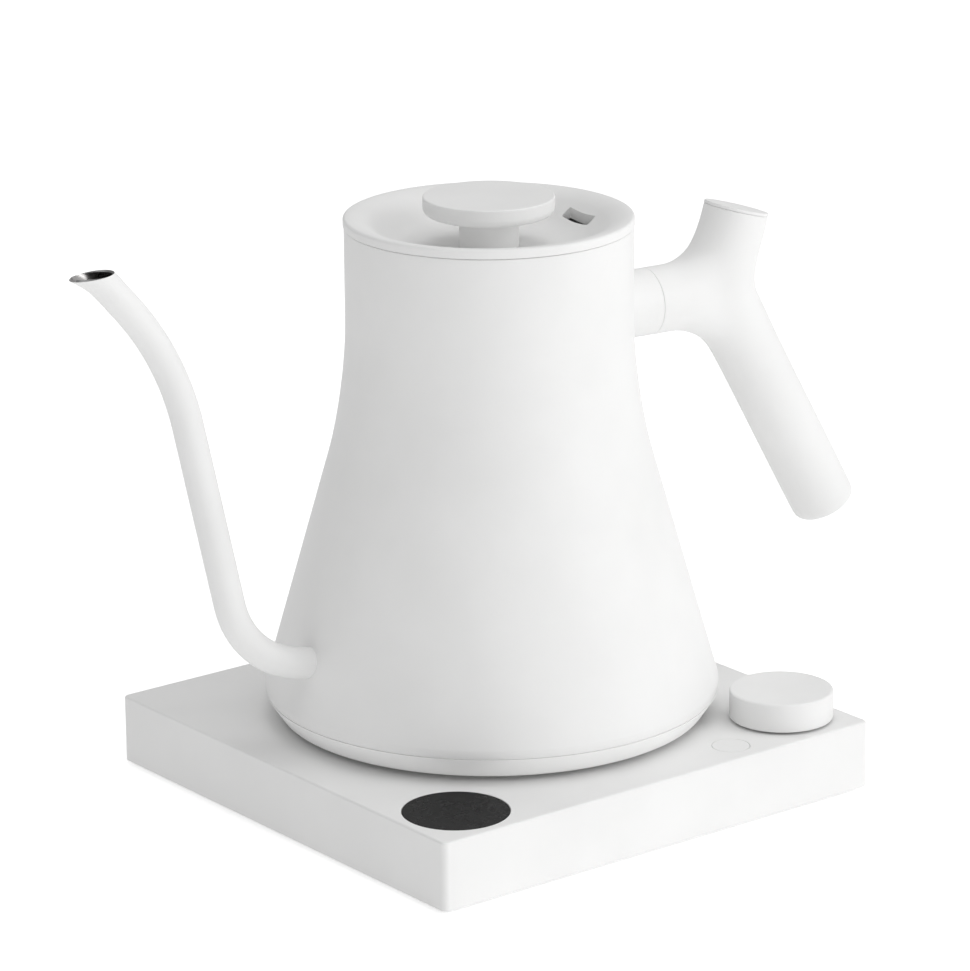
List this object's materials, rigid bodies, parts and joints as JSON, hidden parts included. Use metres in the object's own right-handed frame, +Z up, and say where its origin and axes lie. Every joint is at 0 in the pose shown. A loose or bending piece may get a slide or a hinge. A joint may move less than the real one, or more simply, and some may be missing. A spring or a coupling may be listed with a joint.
{
  "type": "electric gooseneck kettle",
  "caption": "Electric pour-over kettle: conical vessel with gooseneck spout, branched handle and lift-off lid on a square power base with round display, dial and button.",
  "frame": {"origin": "centre of the base, on the plane of its underside; the rubber feet stand 1 mm below it", "axes": "+Z up, +X towards the handle's side, -Y towards the side with the display, dial and button"},
  "size_m": [0.2859, 0.172, 0.1935],
  "materials": {
    "white_powder_coat": "matte",
    "white_plastic": "matte",
    "steel": "satin",
    "aluminium": "satin",
    "brass": "satin",
    "rubber": "matte",
    "silicone": "matte",
    "black_lens": "gloss",
    "black_plastic": "matte",
    "grey_plastic": "matte",
    "board": "satin"
  },
  "bodies": {
    "base": {"base_cover": "white_plastic", "base_pan": "grey_plastic", "rubber_foot_front_left": "rubber", "rubber_foot_front_right": "rubber", "rubber_foot_rear_left": "rubber", "rubber_foot_rear_right": "rubber", "pan_screw_1": "steel", "pan_screw_2": "steel", "pan_screw_3": "steel", "pan_screw_4": "steel", "power_connector": "black_plastic", "power_connector_pin": "brass", "display_lens": "black_lens", "display_panel": "black_plastic", "encoder_body": "aluminium", "button_switch": "grey_plastic", "control_board": "board", "control_board_screw_1": "steel", "control_board_screw_2": "steel", "power_board": "board", "power_board_screw_1": "steel", "power_board_screw_2": "steel", "power_board_screw_3": "steel", "power_board_screw_4": "steel", "power_relay": "black_plastic", "power_supply_module": "black_plastic", "filter_capacitor": "grey_plastic", "buzzer": "black_plastic", "cord_inlet": "black_plastic"},
    "kettle": {"kettle_body": "white_powder_coat", "spout": "white_powder_coat", "handle_post": "white_powder_coat", "handle_grip": "white_plastic", "handle_cap": "white_plastic", "handle_bolt": "steel", "heater_plate": "steel", "heat_spreader": "aluminium", "heating_element": "steel", "thermal_cutout": "black_plastic", "temperature_probe": "steel", "kettle_foot": "white_plastic", "foot_screw_1": "steel", "foot_screw_2": "steel", "foot_screw_3": "steel", "kettle_connector": "black_plastic", "kettle_contact_ring": "brass"},
    "lid": {"lid_shell": "white_plastic", "lid_cup": "steel", "lid_seal": "silicone", "lid_knob": "white_plastic", "lid_screw": "steel"},
    "encoder": {"encoder_rotor": "grey_plastic"},
    "dial": {"control_dial": "white_plastic", "dial_shaft": "steel"},
    "button": {"power_button": "white_plastic", "switch_plunger": "black_plastic"}
  },
  "joints": [
    {"name": "kettle_lift", "type": "slide", "parent": "base", "child": "kettle", "axis": [0, 0, 1], "range_m": [0, 0.12]},
    {"name": "lid_lift", "type": "slide", "parent": "kettle", "child": "lid", "axis": [0, 0, 1], "range_m": [0, 0.06]},
    {"name": "dial_turn", "type": "hinge", "parent": "base", "child": "encoder", "pos_m": [0.0661, -0.0661, 0.0173], "axis": [0, 0, 1], "continuous": true},
    {"name": "dial_press", "type": "slide", "parent": "encoder", "child": "dial", "axis": [0, 0, -1], "range_m": [0, 0.0005], "stiffness_N_per_m": 800, "springref_m": -0.001},
    {"name": "button_press", "type": "slide", "parent": "base", "child": "button", "axis": [0, 0, -1], "range_m": [0, 0.001], "stiffness_N_per_m": 600, "springref_m": -0.001}
  ]
}
